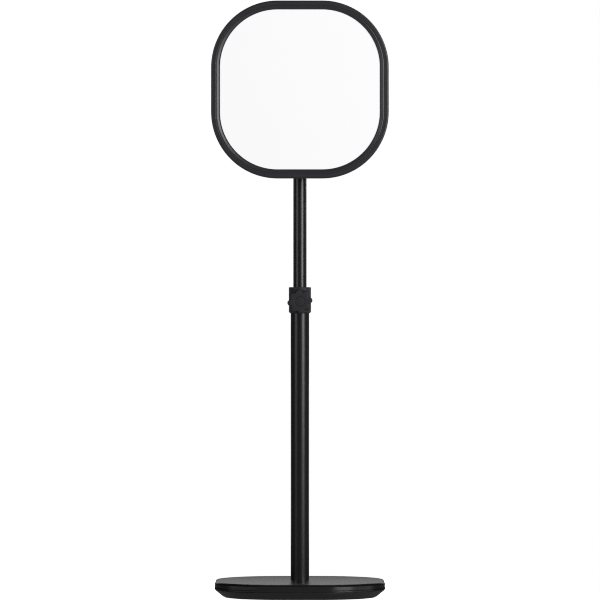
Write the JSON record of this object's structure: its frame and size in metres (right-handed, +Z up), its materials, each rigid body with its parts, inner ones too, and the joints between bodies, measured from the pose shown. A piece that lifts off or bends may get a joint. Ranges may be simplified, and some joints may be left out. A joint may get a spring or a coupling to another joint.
{
  "type": "led panel light",
  "caption": "Slim rounded-square LED light panel on a ball joint, on a telescopic pole with a hand-knob clamp and a weighted rounded-square base.",
  "frame": {"origin": "centre of the base's underside, on the surface it stands on", "axes": "+Z up along the pole, -Y the way the light faces, +X to the light's left as it faces out, which is the right of someone looking at it"},
  "size_m": [0.2062, 0.199, 0.6937],
  "materials": {
    "base_shell": "satin",
    "base_shell_lower": "fine texture",
    "steel": "zinc plated",
    "rubber": "matt",
    "screw_steel": "zinc plated",
    "tube_black": "satin black",
    "nylon_black": "matt",
    "clamp_plastic": "fine texture",
    "brass": "machined",
    "screw_black": "black oxide",
    "nylon_natural": "smooth",
    "cap_plastic": "smooth",
    "housing_black": "fine powder coat",
    "ball_metal": "anodised",
    "bezel_plastic": "fine texture",
    "diffuser": "opal, lit",
    "foam": "closed-cell foam",
    "clear_acrylic": "clear",
    "white_sheet": "matt white",
    "led_tape": "white solder mask",
    "led_phosphor": "phosphor",
    "tray_aluminium": "brushed",
    "rear_plastic": "fine texture",
    "circuit_board": "solder mask",
    "component_black": "moulded",
    "lead_red": "insulated wire",
    "button_plastic": "smooth"
  },
  "bodies": {
    "stand": {"base_cover": "base_shell", "base_pan": "base_shell_lower", "base_weight": "steel", "foot_pad": "rubber", "base_screws": "screw_steel", "pole_bolt": "screw_steel", "pole_washer": "screw_steel", "foot_plug": "steel", "lower_tube": "tube_black", "guide_bush": "nylon_black", "clamp_collar": "clamp_plastic", "clamp_insert": "brass", "collar_grub_screw": "screw_black"},
    "clamp_pad": {"clamp_pad": "nylon_natural"},
    "clamp_knob": {"clamp_knob": "clamp_plastic", "clamp_screw": "screw_steel", "clamp_knob_cap": "cap_plastic"},
    "slide_bush": {"slide_bush": "nylon_natural"},
    "upper_pole": {"upper_tube": "tube_black", "tube_end_plug": "nylon_black", "bush_clip": "screw_steel", "neck_socket": "housing_black", "neck_grub_screw": "screw_black", "ball_housing": "housing_black", "ball_cup": "nylon_natural"},
    "lock_pin": {"lock_pin": "brass"},
    "lock_knob": {"lock_knob": "clamp_plastic", "lock_screw": "screw_steel", "lock_knob_cap": "cap_plastic"},
    "ball": {"ball_stud": "ball_metal", "stud_lock_ring": "housing_black", "stud_washer": "rubber"},
    "light_head": {"front_bezel": "bezel_plastic", "diffuser": "diffuser", "diffuser_gasket": "foam", "light_guide_plate": "clear_acrylic", "reflector_sheet": "white_sheet", "led_strip": "led_tape", "led_chips": "led_phosphor", "heat_sink_tray": "tray_aluminium", "rear_cover": "rear_plastic", "mount_plate": "steel", "mount_insert": "brass", "mount_plate_screws": "screw_steel", "cover_screws": "screw_black", "control_board": "circuit_board", "board_screws": "screw_steel", "board_components": "component_black", "tact_switches": "component_black", "dc_jack": "component_black", "led_leads": "lead_red"},
    "power_button": {"power_button": "button_plastic"},
    "brighter_button": {"brighter_button": "button_plastic"},
    "dimmer_button": {"dimmer_button": "button_plastic"},
    "colour_button": {"colour_button": "button_plastic"}
  },
  "joints": [
    {"name": "height_slide", "type": "slide", "parent": "stand", "child": "slide_bush", "axis": [0, 0, 1], "range_m": [-0.19, 0.06]},
    {"name": "pole_turn", "type": "hinge", "parent": "slide_bush", "child": "upper_pole", "pos_m": [0, 0, 0.242], "axis": [0, 0, 1], "continuous": true},
    {"name": "head_tilt", "type": "hinge", "parent": "upper_pole", "child": "ball", "pos_m": [0, 0, 0.5906], "axis": [1, 0, 0], "range_deg": [-75, 12]},
    {"name": "head_roll", "type": "hinge", "parent": "ball", "child": "light_head", "pos_m": [0, -0.037, 0.5906], "axis": [0, 1, 0], "continuous": true},
    {"name": "clamp_pad_travel", "type": "slide", "parent": "stand", "child": "clamp_pad", "axis": [0, -1, 0], "range_m": [0, 0.0015]},
    {"name": "clamp_knob_turn", "type": "hinge", "parent": "clamp_pad", "child": "clamp_knob", "pos_m": [0, -0.0235, 0.3444], "axis": [0, -1, 0], "range_deg": [0, 540]},
    {"name": "lock_pin_travel", "type": "slide", "parent": "upper_pole", "child": "lock_pin", "axis": [0, 1, 0], "range_m": [0, 0.001]},
    {"name": "lock_knob_turn", "type": "hinge", "parent": "lock_pin", "child": "lock_knob", "pos_m": [0, 0.0245, 0.5736], "axis": [0, 1, 0], "range_deg": [0, 360]},
    {"name": "power_button_press", "type": "slide", "parent": "light_head", "child": "power_button", "axis": [0, -1, 0], "range_m": [0, 0.0005], "stiffness_N_per_m": 600, "springref_m": -0.0003},
    {"name": "brighter_button_press", "type": "slide", "parent": "light_head", "child": "brighter_button", "axis": [0, -1, 0], "range_m": [0, 0.0005], "stiffness_N_per_m": 600, "springref_m": -0.0003},
    {"name": "dimmer_button_press", "type": "slide", "parent": "light_head", "child": "dimmer_button", "axis": [0, -1, 0], "range_m": [0, 0.0005], "stiffness_N_per_m": 600, "springref_m": -0.0003},
    {"name": "colour_button_press", "type": "slide", "parent": "light_head", "child": "colour_button", "axis": [0, -1, 0], "range_m": [0, 0.0005], "stiffness_N_per_m": 600, "springref_m": -0.0003}
  ],
  "couplings": [
    {"joint": "clamp_knob_turn", "follows": "clamp_pad_travel", "rad_per_m": 6283.2},
    {"joint": "lock_knob_turn", "follows": "lock_pin_travel", "rad_per_m": 6283.2}
  ]
}
